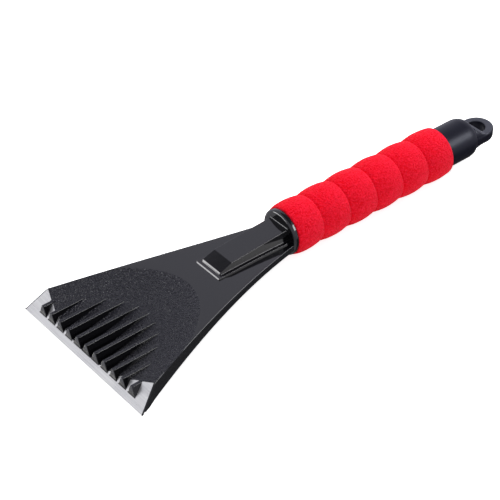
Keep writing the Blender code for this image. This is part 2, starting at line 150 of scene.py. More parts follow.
# Raised block and its plinth on the neck
PLINTH_FRONT = 79.4
PLINTH_HALF = 9.43
PLINTH_RISE = 0.82
PLINTH_ROUND = 0.2
PLINTH_SINK = 1.5
PLINTH_STEP = 2.0
FRONT_LEAN = 0.48
FRONT_TOE = 0.05
FRONT_ROUNDING = ((0.0, 0.12), (0.06, 0.03), (0.16, 0.0))
FRONT_RUN = 1.0
BLOCK_FRONT = 81.5
BLOCK_FRONT_HEIGHT = 16.88
BLOCK_BASE_HALF = 7.46
CHAMFER_END = 89.6
CHAMFER_HEIGHT = 19.7
BLOCK_REAR_HEIGHT = 21.95
BLOCK_TOP_HALF = 7.0
BLOCK_ROUND = 0.34
BLOCK_SINK = 1.2
BLOCK_OVERLAP = 0.02
CHAMFER_STEP = 1.5
CHAMFER_MARGIN = 0.1
BLOCK_TOP_STEP = 3.0
FILLET = 0.4
FILLET_STEPS = 4
COLLAR_FILLET = 0.6
COLLAR_FILLET_STEP = 0.1
COLLAR_OVERLAP = 1.0

# Hollow in the block (its lowest and highest corners) and the keel under the neck, whose ends are given as
# (x, half width above, half width below, upper height, lower height)
CORE = ((86.0, -4.6, 0.0), (122.0, 4.6, 17.4))
KEEL_FRONT = (94.0, 3.0, 2.0, 11.7, 10.6)
KEEL_REAR = (128.3, 8.0, 5.0, 13.0, 5.5)

# Collar and spigot
COLLAR_FRONT = 127.2
COLLAR_REAR = 130.0
COLLAR_RADIUS = 13.1
COLLAR_ROUND = 1.8
COLLAR_STEPS = 12
TURNED_STEPS = 128
RIM_CHAMFER = 0.3
TIP_CHAMFER = 1.0
END_WALL = 2.0
SPIGOT_RADIUS = 9.6
SPIGOT_BORE = 7.2
SPIGOT_LENGTH = 28.0

# Underside pockets: skin above, wall and web beside, and bays as (start, end, lanes as shares of the width)
SKIN = 2.2
WALL = 2.2
WEB = 1.8
POCKET_REACH = 8.0
POCKET_STEP = 2.0
POCKET_CROSS_STEPS = 8
BAYS = (
    (14.5, 46.0, ((0.34, 0.64), (0.64, 1.0))),
    (49.0, 81.0, ((0.0, 0.5), (0.5, 1.0))),
    (84.0, 118.0, ((0.5, 1.0),)),
)

# Foam grip
FOAM_BORE = 11.5
FOAM_VALLEY = 13.5
FOAM_FRONT_RADIUS = 13.2
FOAM_REAR_RADIUS = 14.05
FOAM_ROUND = 0.7
LOBES = 6
LOBE_PITCH = 19.1
FIRST_CREST = 138.1
LOBE_POWER = 0.85
CREASE_REACH = 1.1
CREASE_DEPTH = 0.5
FOAM_STEP = 0.4
FOAM_LEAD = 0.02
FOAM_END_STEP = 0.5
FOAM_ROUND_STEPS = 5
FOAM_TURN_STEPS = 220
BORE_MARGIN = 0.4

# Uneven surface of the foam: spatial frequencies per millimetre and depths
PORE_FREQUENCY = 1.9
FINE_PORE_FREQUENCY = 4.1
FINE_PORE_SHARE = 0.6
PORE_DEPTH = 0.07
SWELL_FREQUENCY = 0.22
SWELL_DEPTH = 0.05

# End cap
BARREL_RADIUS = 11.75
BARREL_BEND = 260.0
BARREL_END = 265.3
BARREL_END_RADIUS = 9.4
BARREL_STEPS = 14
PLUG_LENGTH = 20.0
LUG_HALF_WIDTH = 9.4
LUG_TOP = 2.6
LUG_BOTTOM = -3.4
LUG_DEPTH = 10.6
LUG_ROUND_TOP = 1.3
LUG_ROUND_BOTTOM = 0.9
LUG_ROUND_ANGLE = 15
LUG_OVERLAP = 2.0
ROOT_RADIUS = 9.4
ROOT_END = 274.2
ROOT_FLARE = 0.085
ROOT_TUCK = 0.1
ROOT_OVERLAP = 1.0
ROOT_STEP = 0.5
ROOT_CROSS_STEP = 0.6
ROOT_SIDE_MARGIN = 0.05
HOLE_X = 273.2
HOLE_HALF = 5.4
HOLE_DEPTH = 6.0
HOLE_BACK = 0.1
CAP_VOXEL = 0.28
CAP_SMOOTHING = 0.5
CAP_SMOOTH_ROUNDS = 10
# Where the loop's upper face, which gets painted light, starts beyond the barrel and how level its faces
# must be
LOOP_FACE_LEAD = 1.0
LOOP_FACE_TILT = 0.8

# Stage, in metres
FLOOR_REACH = 6.0
FLOOR_DROP = 0.0002
FLOOR_GLOW = 0.82
PANEL_WIDTH = 0.9

# Brightness of the sky for everything but mirror-like reflections, which see the sky's steps from straight
# down (0) to straight up (1) and a pale table on the blade's side
DIFFUSE_SKY = 0.67
SKY_STEPS = (
    (0.0, 0.10),
    (0.34, 0.12),
    (0.40, 0.85),
    (0.47, 0.85),
    (0.53, 0.95),
    (0.885, 0.95),
    (0.898, 0.25),
    (1.0, 0.12),
)
SKY_BLUE = 1.15
TABLE_COLOUR = (0.72, 0.72, 0.78, 1)
TABLE_SIDE_BLUR = 0.15
TABLE_EDGE_BLUR = 0.1

# Camera, in degrees, millimetres of lens and metres
CAMERA_AZIMUTH = -39.588
CAMERA_ELEVATION = 39.397
CAMERA_LENS = 118.8
CAMERA_SENSOR = 36.0
CAMERA_PLACE = (-0.45632, -0.50995, 0.55768)

# Range that most of a noise texture's values keep to
NOISE_RANGE = (0.3, 0.7)

# Places of a colour Mix node's factor, first and second colour, and of its colour result
MIX_COLOUR_INPUTS = (0, 6, 7)
MIX_COLOUR_OUTPUT = 2


# Numbers along a line


def span(start, end, step):
    """Evenly spaced values from start to end, about a step apart."""
    count = max(1, round(abs(end - start) / abs(step)))
    return [start + (end - start) * i / count for i in range(count + 1)]


def arc(steps):
    """(1 - cos, sin) of evenly spaced angles over a quarter turn."""
    angles = [math.pi / 2 * k / steps for k in range(steps + 1)]
    return [(1 - math.cos(a), math.sin(a)) for a in angles]


# Surfaces of the head


def outline(x):
    """Half of the head's width at x: a straight flare beside the blade, then a hollow curve to the neck."""
    if x <= NOSE_RUN:
        return TIP_HALF_WIDTH + (SHOULDER_HALF_WIDTH - TIP_HALF_WIDTH) * x / NOSE_RUN
    points = (
        (NOSE_RUN, SHOULDER_HALF_WIDTH),
        OUTLINE_PULL_FRONT,
        OUTLINE_PULL_REAR,
        (NECK_X, NECK_HALF_WIDTH),
    )
    low, high = 0.0, 1.0
    for _ in range(OUTLINE_HALVINGS):
        t = (low + high) / 2
        weights = ((1 - t) ** 3, 3 * t * (1 - t) ** 2, 3 * t * t * (1 - t), t**3)
        if sum(w * p[0] for w, p in zip(weights, points)) < x:
            low = t
        else:
            high = t
    return sum(w * p[1] for w, p in zip(weights, points))


def bevel(x):
    """Height of the sloped nose plane."""
    return EDGE_LAND + (SHOULDER_HEIGHT - EDGE_LAND) * x / NOSE_RUN


def crown(x):
    """Height of the head's crowned top."""
    return CROWN_HEIGHT - CROWN_SAG * (x - CROWN_X) ** 2


def arch(x):
    """Height of the head's arched underside."""
    return max(0.0, ARCH_HEIGHT - ARCH_SAG * (x - ARCH_X) ** 2)


def scoop(x, y):
    """Height of the scooped floor."""
    bowl = (SCOOP_BOWL + SCOOP_BOWL_GAIN * x) * y * y
    return SCOOP_HEIGHT + SCOOP_SLOPE * x + SCOOP_CURVE * x * x + bowl


def scoop_start(y):
    """Where the scooped floor leaves the nose plane, at y."""
    a = SCOOP_CURVE
    b = SCOOP_SLOPE + SCOOP_BOWL_GAIN * y * y - NOSE_RISE
    c = SCOOP_HEIGHT + SCOOP_BOWL * y * y - EDGE_LAND
    return min(NOSE_RUN, (-b - math.sqrt(b * b - 4 * a * c)) / (2 * a))


def rib_half(z):
    """Half of a rib's width at height z: drafted down to its base, then upright."""
    share = (RIB_TOP - z) / (RIB_TOP - RIB_BASE)
    return RIB_TOP_HALF + (RIB_BASE_HALF - RIB_TOP_HALF) * min(1.0, share)


def rib_centres():
    """The y of each rib's middle."""
    middle = (RIB_COUNT - 1) / 2
    return [(i - middle) * RIB_PITCH for i in range(RIB_COUNT)]


# Mesh makers


def mesh_object(name, points, faces):
    """An object at the world's origin from points in millimetres."""
    mesh = bpy.data.meshes.new(name)
    mesh.from_pydata([((p[0] + EDGE_X) * MM, p[1] * MM, p[2] * MM) for p in points], [], faces)
    clean_up = bmesh.new()
    clean_up.from_mesh(mesh)
    bmesh.ops.recalc_face_normals(clean_up, faces=clean_up.faces)
    if clean_up.calc_volume(signed=True) < 0:
        bmesh.ops.reverse_faces(clean_up, faces=clean_up.faces)
    clean_up.to_mesh(mesh)
    clean_up.free()
    obj = bpy.data.objects.new(name, mesh)
    bpy.context.scene.collection.objects.link(obj)
    return obj


def loft(name, rings):
    """A closed solid through rings of equally many points, with a flat cap on each end."""
    count = len(rings[0])
    points = [p for ring in rings for p in ring]
    faces = []
    for i in range(len(rings) - 1):
        for j in range(count):
            k = (j + 1) % count
            a, b = i * count, (i + 1) * count
            faces.append((a + j, a + k, b + k, b + j))
    last = (len(rings) - 1) * count
    faces.append(tuple(range(count)))
    faces.append(tuple(last + j for j in reversed(range(count))))
    return mesh_object(name, points, faces)


def band(name, stations, across, top, bottom):
    """A solid whose cross-section at each station x runs over the points that across(x) gives."""
    rings = []
    for x in stations:
        ys = across(x)
        upper = [(x, y, top(x, y)) for y in ys]
        lower = [(x, y, bottom(x, y)) for y in reversed(ys)]
        rings.append(upper + lower)
    return loft(name, rings)


def turned(name, profile, steps):
    """A solid of revolution about the handle's axis, from a closed loop of (x, radius)."""
    points, rows = [], []
    for x, radius in profile:
        if radius == 0:
            rows.append([len(points)] * steps)
            points.append((x, 0.0, AXIS_HEIGHT))
            continue
        rows.append(range(len(points), len(points) + steps))
        for k in range(steps):
            angle = 2 * math.pi * k / steps
            points.append((x, radius * math.cos(angle), AXIS_HEIGHT + radius * math.sin(angle)))
    faces = []
    for one, other in zip(rows, rows[1:] + rows[:1]):
        if one[0] == one[1] and other[0] == other[1]:
            continue
        for k in range(steps):
            n = (k + 1) % steps
            faces.append(tuple(dict.fromkeys((one[k], one[n], other[n], other[k]))))
    return mesh_object(name, points, faces)


def box(name, low, high):
    """A box between its lowest and highest corners."""
    rings = []
    for x in (low[0], high[0]):
        corners = ((low[1], low[2]), (high[1], low[2]), (high[1], high[2]), (low[1], high[2]))
        rings.append([(x, y, z) for y, z in corners])
    return loft(name, rings)


def apply_modifiers(obj):
    """Replaces the object's mesh by its modified one."""
    bpy.context.view_layer.update()
    graph = bpy.context.evaluated_depsgraph_get()
    mesh = bpy.data.meshes.new_from_object(obj.evaluated_get(graph))
    obj.modifiers.clear()
    obj.data = mesh


def join(target, operation, *tools):
    """Applies one exact Boolean per tool to target, and removes the tools."""
    for tool in tools:
        modifier = target.modifiers.new(tool.name, "BOOLEAN")
        modifier.operation = operation
        modifier.object = tool
        modifier.solver = "EXACT"
    apply_modifiers(target)
    for tool in tools:
        bpy.data.objects.remove(tool, do_unlink=True)


def set_materials(obj, *materials):
    """Gives the object these materials and no others."""
    obj.data.materials.clear()
    for material in materials:
        obj.data.materials.append(material)


def shade(obj, angle):
    """Smooth shading that keeps large faces flat and lets the small roundings turn."""
    obj.data.shade_smooth()
    obj.data.set_sharp_from_angle(angle=math.radians(angle))
    weighting = obj.modifiers.new("even_normals", "WEIGHTED_NORMAL")
    weighting.keep_sharp = True
    apply_modifiers(obj)


# Head


def whole_ring(x, right):
    """Cross-section at x from its half on the +Y side, listed upwards as (y, z)."""
    left = [(-y, z) for y, z in reversed(right)]
    return [(x, y, z) for y, z in right + left]


def upper_edge(half, top, radius):
    """(y, z) points of a rounded upper edge, from the side to the top."""
    return [(half - radius * c, top - radius + radius * s) for c, s in arc(EDGE_STEPS)]


def body_ring(x):
    """Cross-section of the body at x, with rounded upper edges."""
    half = outline(x)
    top = bevel(x) if x < NOSE_RUN else crown(x)
    low = arch(x)
    radius = min(BODY_ROUND, (top - low) * ROUND_SHARE)
    return whole_ring(x, [(half, low)] + upper_edge(half, top, radius))


def make_body():
    stations = [*NOSE_STATIONS, *span(NOSE_RUN, COLLAR_FRONT + BODY_OVERLAP, BODY_STEP)]
    return loft("head_moulding", [body_ring(x) for x in stations])


def leaning_front(front, height):
    """(x, drop) pairs of a front face that leans back, with a small rounding at its top."""
    top = front + FRONT_LEAN * height
    return [(front, height - FRONT_TOE)] + [(top + run, drop) for run, drop in FRONT_ROUNDING]


def plinth_surface(x):
    """Height of the plinth's top."""
    return crown(x) + PLINTH_RISE


def plinth_ring(x, drop):
    """Cross-section of the plinth at x, with rounded upper edges."""
    half = PLINTH_HALF - FRONT_LEAN * drop
    edge = upper_edge(half, plinth_surface(x) - drop, PLINTH_ROUND)
    return whole_ring(x, [(half, crown(x) - PLINTH_SINK)] + edge)


def make_plinth():
    stations = leaning_front(PLINTH_FRONT, PLINTH_RISE)
    rear = COLLAR_FRONT + COLLAR_OVERLAP
    stations += [(x, 0.0) for x in span(PLINTH_FRONT + FRONT_RUN, rear, PLINTH_STEP)]
    return loft("plinth", [plinth_ring(x, drop) for x, drop in stations])


def block_top(x):
    """Height of the block's top: the sloped front, then the long rise to the collar."""
    if x <= CHAMFER_END:
        share = (x - BLOCK_FRONT) / (CHAMFER_END - BLOCK_FRONT)
        return BLOCK_FRONT_HEIGHT + (CHAMFER_HEIGHT - BLOCK_FRONT_HEIGHT) * share
    rise = (BLOCK_REAR_HEIGHT - CHAMFER_HEIGHT) / (COLLAR_FRONT - CHAMFER_END)
    into_fillet = min(COLLAR_FILLET, max(0.0, x - COLLAR_FRONT + COLLAR_FILLET))
    sweep = COLLAR_FILLET - math.sqrt(COLLAR_FILLET**2 - into_fillet**2)
    return CHAMFER_HEIGHT + rise * (x - CHAMFER_END) + sweep


def block_ring(x, drop):
    """Cross-section of the block: drafted sides, rounded upper edges and a fillet at the foot."""
    top = block_top(x) - drop
    foot = plinth_surface(x) - BLOCK_OVERLAP
    lean = (BLOCK_TOP_HALF - BLOCK_BASE_HALF) / (BLOCK_REAR_HEIGHT - CROWN_HEIGHT)

    def half(z):
        return BLOCK_BASE_HALF - FRONT_LEAN * drop + lean * (z - CROWN_HEIGHT)

    radius = min(BLOCK_ROUND, (top - foot) * ROUND_SHARE)
    hollow = min(FILLET, (top - foot) * ROUND_SHARE)
    fillet = [(half(foot + hollow) + hollow * (1 - s), foot + hollow * c) for c, s in arc(FILLET_STEPS)]
    edge = upper_edge(half(top - radius), top, radius)
    return whole_ring(x, [(fillet[0][0], foot - BLOCK_SINK)] + fillet + edge)


def make_block():
    front_height = BLOCK_FRONT_HEIGHT - plinth_surface(BLOCK_FRONT)
    rings = [block_ring(x, drop) for x, drop in leaning_front(BLOCK_FRONT, front_height)]
    fillet_start = COLLAR_FRONT - COLLAR_FILLET
    stations = span(BLOCK_FRONT + FRONT_RUN, CHAMFER_END - CHAMFER_MARGIN, CHAMFER_STEP)
    stations += span(CHAMFER_END + CHAMFER_MARGIN, fillet_start, BLOCK_TOP_STEP)
    stations += span(fillet_start, COLLAR_FRONT, COLLAR_FILLET_STEP)[1:]
    stations.append(COLLAR_FRONT + COLLAR_OVERLAP)
    return loft("block", rings + [block_ring(x, 0.0) for x in stations])


def keel_ring(x, upper_half, lower_half, upper, lower):
    """Cross-section of the keel: a trapezium, wide at its upper height."""
    return [
        (x, upper_half, upper),
        (x, lower_half, lower),
        (x, -lower_half, lower),
        (x, -upper_half, upper),
    ]


def collar_profile():
    """Collar with a rounded front edge, then the hollow spigot that plugs into the tube."""
    centre = COLLAR_RADIUS - COLLAR_ROUND
    profile = [(COLLAR_FRONT, 0.0)]
    profile += [(COLLAR_FRONT + COLLAR_ROUND * c, centre + COLLAR_ROUND * s) for c, s in arc(COLLAR_STEPS)]
    end = COLLAR_REAR + SPIGOT_LENGTH
    profile += [
        (COLLAR_REAR - RIM_CHAMFER, COLLAR_RADIUS),
        (COLLAR_REAR, COLLAR_RADIUS - RIM_CHAMFER),
        (COLLAR_REAR, SPIGOT_RADIUS),
        (end - TIP_CHAMFER, SPIGOT_RADIUS),
        (end, SPIGOT_RADIUS - TIP_CHAMFER),
        (end, SPIGOT_BORE),
        (COLLAR_REAR + END_WALL, SPIGOT_BORE),
        (COLLAR_REAR + END_WALL, 0.0),
    ]
    return profile


def rib_ring(x, centre, inset, floor):
    """Cross-section of a rib at x, with rounded upper edges, drawn in by inset."""
    heights = [floor, max(RIB_BASE, floor + RIB_LEAST_SIDE)]
    side = [(rib_half(z) - inset, z) for z in heights]
    shoulder = RIB_TOP_HALF - inset + RIB_SHOULDER
    rounding_foot = RIB_TOP - inset - RIB_ROUND
    for c, s in arc(RIB_ROUND_STEPS):
        side.append((shoulder - RIB_ROUND * c, rounding_foot + RIB_ROUND * s))
    left = [(x, centre + y, z) for y, z in side]
    right = [(x, centre - y, z) for y, z in reversed(side)]
    return left + right


def make_ribs():
    ribs = []
    for i, centre in enumerate(rib_centres()):
        buried = RIB_TOP + RIB_SINK / 2
        end = next(x for x in span(RIB_FRONT, SCOOP_END, RIB_END_STEP) if scoop(x, centre) > buried)
        turns = arc(RIB_ROUND_STEPS)
        stations = [(RIB_FRONT + RIB_FRONT_ROUND * c, RIB_FRONT_ROUND * (1 - s)) for c, s in turns]
        stations += [(x, 0.0) for x in span(RIB_FRONT + FRONT_RUN, end, RIB_STEP)]
        rings = []
        for x, inset in stations:
            floor = min(scoop(x, centre), RIB_TOP) - RIB_SINK
            if x < NOSE_RUN:
                floor = max(RIB_FOOT, min(floor, bevel(x) - 2 * BLADE_THICKNESS))
            rings.append(rib_ring(x, centre, inset, floor))
        ribs.append(loft(f"rib_{i + 1}", rings))
    return ribs


def make_pockets():
    """Hollows under the head, between its skirt, its spine and its webs."""

    def roof(x, y):
        return min(crown(x), scoop(x, y)) - SKIN

    def opening(x, y):
        return arch(x) - POCKET_REACH

    pockets = []
    for start, end, lanes in BAYS:
        for inner, outer in lanes:
            for side in (1, -1):

                def across(x):
                    low = inner * outline(x) + WEB / 2
                    high = outer * outline(x) - (WALL if outer == 1.0 else WEB / 2)
                    shares = [k / POCKET_CROSS_STEPS for k in range(POCKET_CROSS_STEPS + 1)]
                    return [side * (low + (high - low) * share) for share in shares]

                name = f"pocket_{len(pockets) + 1}"
                pockets.append(band(name, span(start, end, POCKET_STEP), across, roof, opening))
    return pockets


def comb_outline(grow):
    """Corners of the comb plate, as (x on the nose plane, y), wider by grow on every side."""
    slope = math.hypot(NOSE_RUN, SHOULDER_HEIGHT - EDGE_LAND) / NOSE_RUN
    step = grow / slope
    front = -SEAT_REACH if grow else 0.0
    side = (BLADE_SHOULDER - BLADE_HALF_WIDTH) / NOSE_RUN
    margin = RIB_LEDGE + BLADE_GAP - grow
    notch_front = RIB_FRONT - margin
    corners = [(front, BLADE_HALF_WIDTH + front * side + grow)]
    right = []
    for centre in reversed(rib_centres()):
        for edge in (1, -1):
            x = scoop_start(centre + edge * RIB_TOP_HALF)
            half = rib_half(bevel(x)) + margin
            near = rib_half(bevel(notch_front)) + margin
            rear = (x + step, centre + edge * half)
            fore = (notch_front, centre + edge * near)
            right += [rear, fore] if edge > 0 else [fore, rear]
    outer = max(rib_centres()) + rib_half(bevel(scoop_start(max(rib_centres()))))
    wing = span(BLADE_SHOULDER, outer, WING_STEP)[:-1]
    corners.append((NOSE_RUN + step, BLADE_SHOULDER + grow))
    corners += [(scoop_start(y) + step, y) for y in wing[1:]]
    corners += right
    corners += [(scoop_start(y) + step, -y) for y in reversed(wing[1:])]
    corners.append((NOSE_RUN + step, -BLADE_SHOULDER - grow))
    corners.append((front, -BLADE_HALF_WIDTH - front * side - grow))
    return corners


def comb_plate(name, grow, above, below):
    """The comb outline as a solid, from a height above the nose plane to a depth below it, square to it."""
    length = math.hypot(1.0, NOSE_RISE)
    normal = (-NOSE_RISE / length, 1.0 / length)
    rings = []
    for offset in (above, -below):
        ring = [(x + normal[0] * offset, y, bevel(x) + normal[1] * offset) for x, y in comb_outline(grow)]
        rings.append(ring)
    return loft(name, rings)


def finish_zones(obj):
    """Gives the scooped floor and the ribs' tops the grained finish, and everything else the glossy one."""
    for polygon in obj.data.polygons:
        x, y, z = (c / MM for c in polygon.center)
        x -= EDGE_X
        level = polygon.normal.z
        near_floor = abs(z - scoop(x, y)) < FLOOR_TOLERANCE and z < crown(x) - CROWN_MARGIN
        on_floor = near_floor and level > FLOOR_TILT
        on_rib = abs(z - RIB_TOP) < RIB_TOLERANCE and level > RIB_TOP_TILT
        polygon.material_index = 1 if x < SCOOP_END and (on_floor or on_rib) else 0


def make_head(gloss, grain):
    head = make_body()
    scoop_cut = band(
        "cut_scoop",
        span(SCOOP_START, SCOOP_END, SCOOP_STEP),
        lambda x: span(-SCOOP_HALF, SCOOP_HALF, SCOOP_CROSS_STEP),
        lambda x, y: SCOOP_CEILING,
        scoop,
    )
    toe_half = BLADE_HALF_WIDTH + BLADE_GAP
    toe = box("cut_toe", (-TOE_REACH, -toe_half, -TOE_REACH), (PLASTIC_START, toe_half, TOE_HEIGHT))
    seat = comb_plate("cut_blade_seat", BLADE_GAP, SEAT_CEILING, BLADE_THICKNESS + BLADE_GAP)
    spigot = turned("spigot", collar_profile(), TURNED_STEPS)
    keel = loft("keel", [keel_ring(*KEEL_FRONT), keel_ring(*KEEL_REAR)])
    core = box("cut_block_core", *CORE)
    join(head, "UNION", make_plinth(), make_block(), keel, spigot)
    join(head, "DIFFERENCE", scoop_cut)
    join(head, "UNION", *make_ribs())
    join(head, "DIFFERENCE", *make_pockets(), core, seat, toe)
    set_materials(head, gloss, grain)
    finish_zones(head)
    shade(head, HEAD_CREASE_ANGLE)
    return head


# Blade


def make_blade(metal, edge_painted_shade):
    blade = comb_plate("blade_comb", 0.0, 0.0, BLADE_THICKNESS)
    reach = TIP_HALF_WIDTH + TABLE_CUT_REACH
    join(blade, "DIFFERENCE", box("cut_below_table", (-reach, -reach, -reach), (reach, reach, 0.0)))
    rounding = blade.modifiers.new("edges", "BEVEL")
    rounding.width = BLADE_ROUND * MM
    rounding.segments = 2
    rounding.limit_method = "ANGLE"
    rounding.angle_limit = math.radians(BLADE_BEVEL_ANGLE)
    rounding.use_clamp_overlap = True
    apply_modifiers(blade)
    set_materials(blade, metal, edge_painted_shade)
    # The rounded edge faces get nearly black metal: painted shade along the blade's edges and notches.
    for polygon in blade.data.polygons:
        polygon.material_index = 0 if polygon.normal.z > BLADE_FACE_TILT else 1
    shade(blade, BLADE_CREASE_ANGLE)
    return blade


# Foam grip


def lobe_radius(x):
    """Radius of the foam at x: a rounded front, swellings with tight grooves between, and a fuller rear."""
    last = FIRST_CREST + LOBE_PITCH * (LOBES - 1)
    if x < FIRST_CREST:
        share = (FIRST_CREST - x) / (FIRST_CREST - FOAM_START)
        return FOAM_FRONT_RADIUS + (FOAM_CREST - FOAM_FRONT_RADIUS) * math.sqrt(max(0.0, 1 - share**2))
    if x < last:
        share = ((x - FIRST_CREST + LOBE_PITCH / 2) / LOBE_PITCH) % 1.0
        swell = (FOAM_CREST - FOAM_VALLEY) * math.sin(math.pi * share) ** LOBE_POWER
        crease = max(0.0, 1 - min(share, 1 - share) * LOBE_PITCH / CREASE_REACH)
        return FOAM_VALLEY + swell - CREASE_DEPTH * crease**2
    share = min(1.0, (x - last) / (FOAM_REAR - FOAM_ROUND - last))
    return FOAM_CREST - (FOAM_CREST - FOAM_REAR_RADIUS) * share**2


def foam_profile():
    """The sleeve's swellings, rounded rear edge, rear face and bore as a closed loop of (x, radius)."""
    bend = FOAM_REAR - FOAM_ROUND
    profile = [(x, lobe_radius(x)) for x in span(FOAM_START + FOAM_LEAD, bend, FOAM_STEP)]
    for c, s in arc(FOAM_ROUND_STEPS)[1:]:
        profile.append((bend + FOAM_ROUND * s, FOAM_REAR_RADIUS - FOAM_ROUND * c))
    rear_face = span(FOAM_REAR_RADIUS - FOAM_ROUND, FOAM_BORE, FOAM_END_STEP)[1:]
    return profile + [(FOAM_REAR, radius) for radius in rear_face] + [(FOAM_START, FOAM_BORE)]


def pore_depth(place):
    """How far the foam's surface lies outside its profile at a place; it is mostly negative."""
    pores = noise.noise(place * PORE_FREQUENCY)
    pores += FINE_PORE_SHARE * noise.noise(place * FINE_PORE_FREQUENCY)
    swell = noise.noise(place * SWELL_FREQUENCY)
    return PORE_DEPTH * (pores - 1.0) + SWELL_DEPTH * (swell - 1.0)


def make_foam(foam_material):
    foam = turned("foam_sleeve", foam_profile(), FOAM_TURN_STEPS)
    axis = Vector((0.0, 0.0, AXIS_HEIGHT * MM))
    for vertex in foam.data.vertices:
        away = Vector((0.0, vertex.co.y, vertex.co.z)) - axis
        if away.length >= (FOAM_BORE + BORE_MARGIN) * MM:
            vertex.co += away.normalized() * pore_depth(vertex.co / MM) * MM
    set_materials(foam, foam_material)
    foam.data.shade_smooth()
    return foam


# End cap


def half_round(back, centre, half, depth, steps=40):
    """Plan of a shape with a straight side at back and a half-elliptical end towards +X."""
    points = [(back, -half)]
    for k in range(steps + 1):
        angle = math.pi * (k / steps - 0.5)
        points.append((centre + depth * math.cos(angle), half * math.sin(angle)))
    points.append((back, half))
    return points


def make_tongue():
    """The flat loop plate, with rounded upper and lower edges."""
    layers = []
    back = BARREL_END - LUG_OVERLAP
    for edge, inward, radius, order in (
        (LUG_BOTTOM, 1, LUG_ROUND_BOTTOM, range(0, 91, LUG_ROUND_ANGLE)),
        (LUG_TOP, -1, LUG_ROUND_TOP, range(90, -1, -LUG_ROUND_ANGLE)),
    ):
        for angle in order:
            z = edge + inward * radius * (1 - math.cos(math.radians(angle)))
            inset = radius * (1 - math.sin(math.radians(angle)))
            plan = half_round(back, LENGTH - LUG_DEPTH, LUG_HALF_WIDTH - inset, LUG_DEPTH - inset)
            layers.append([(x, y, AXIS_HEIGHT + z) for x, y in plan])
    return loft("loop", layers)


def make_root():
    """The blend between the cap's round end and the tongue: a rod pinched more and more towards its tip."""

    def half_height(x, y):
        pinch = LUG_TOP - ROOT_TUCK + ROOT_FLARE * (ROOT_END - x) ** 2
        return min(pinch, math.sqrt(ROOT_RADIUS**2 - y * y))

    reach = ROOT_RADIUS - ROOT_SIDE_MARGIN
    return band(
        "root",
        span(BARREL_END - ROOT_OVERLAP, ROOT_END, ROOT_STEP),
        lambda x: span(-reach, reach, ROOT_CROSS_STEP),
        lambda x, y: AXIS_HEIGHT + half_height(x, y),
        lambda x, y: AXIS_HEIGHT - half_height(x, y),
    )


def barrel_profile():
    """The cap's plug, barrel and rounded end as a closed loop of (x, radius)."""
    start = FOAM_REAR + GAP
    profile = [
        (start - PLUG_LENGTH, SPIGOT_BORE),
        (start - PLUG_LENGTH, SPIGOT_RADIUS - TIP_CHAMFER),
        (start - PLUG_LENGTH + TIP_CHAMFER, SPIGOT_RADIUS),
        (start, SPIGOT_RADIUS),
        (start, BARREL_RADIUS - RIM_CHAMFER),
        (start + RIM_CHAMFER, BARREL_RADIUS),
    ]
    for c, s in arc(BARREL_STEPS):
        x = BARREL_BEND + (BARREL_END - BARREL_BEND) * s
        profile.append((x, BARREL_RADIUS - (BARREL_RADIUS - BARREL_END_RADIUS) * c))
    profile += [(BARREL_END, 0.0), (start + END_WALL, 0.0), (start + END_WALL, SPIGOT_BORE)]
    return profile


def make_cap(satin, painted_light_satin):
    """The cap, whose loop's upper face gets a paler, shinier copy of the satin plastic as painted light."""
    cap = turned("cap_moulding", barrel_profile(), TURNED_STEPS)
    plan = half_round(HOLE_X - HOLE_BACK, HOLE_X, HOLE_HALF, HOLE_DEPTH)
    layers = [[(x, y, AXIS_HEIGHT + z) for x, y in plan] for z in (-FOAM_CREST, FOAM_CREST)]
    opening = loft("cut_loop", layers)
    join(cap, "UNION", make_root(), make_tongue())
    join(cap, "DIFFERENCE", opening)
    remesh = cap.modifiers.new("even_facets", "REMESH")
    remesh.mode = "VOXEL"
    remesh.voxel_size = CAP_VOXEL * MM
    soften = cap.modifiers.new("soft_edges", "SMOOTH")
    soften.factor = CAP_SMOOTHING
    soften.iterations = CAP_SMOOTH_ROUNDS
    apply_modifiers(cap)
    set_materials(cap, satin, painted_light_satin)
    # Level faces of the loop beyond the barrel get the paler, shinier satin: painted light on its upper
    # face.
    for polygon in cap.data.polygons:
        beyond_barrel = polygon.center.x / MM - EDGE_X > BARREL_END + LOOP_FACE_LEAD
        polygon.material_index = 1 if beyond_barrel and polygon.normal.z > LOOP_FACE_TILT else 0
    cap.data.shade_smooth()
    return cap


# Materials


def node_adder(tree):
    """A function that adds a node to the tree, with values for its settings or its inputs."""

    def add(kind, **values):
        node = tree.nodes.new(kind)
        for key, value in values.items():
            if hasattr(node, key):
                setattr(node, key, value)
            else:
                node.inputs[key].default_value = value
        return node

    return add


def new_material(name):
    """A node material with its links, its Principled shader and a function that adds a node."""
    material = bpy.data.materials.new(name)
    material.use_nodes = True
    tree = material.node_tree
    return material, tree.links, tree.nodes["Principled BSDF"], node_adder(tree)


def coordinates(links, add, scale=(1, 1, 1)):
    """Object coordinates in millimetres, stretched by scale along each axis."""
    place = add("ShaderNodeTexCoord")
    stretch = add("ShaderNodeMapping")
    stretch.inputs["Scale"].default_value = tuple(s / MM for s in scale)
    links.new(place.outputs["Object"], stretch.inputs["Vector"])
    return stretch.outputs["Vector"]


def ranged(links, add, source, low, high, start=0.0, end=1.0):
    """The source's range from start to end, turned into low to high."""
    node = add("ShaderNodeMapRange")
    node.inputs["From Min"].default_value = start
    node.inputs["From Max"].default_value = end
    node.inputs["To Min"].default_value = low
    node.inputs["To Max"].default_value = high
    links.new(source, node.inputs["Value"])
    return node.outputs["Result"]


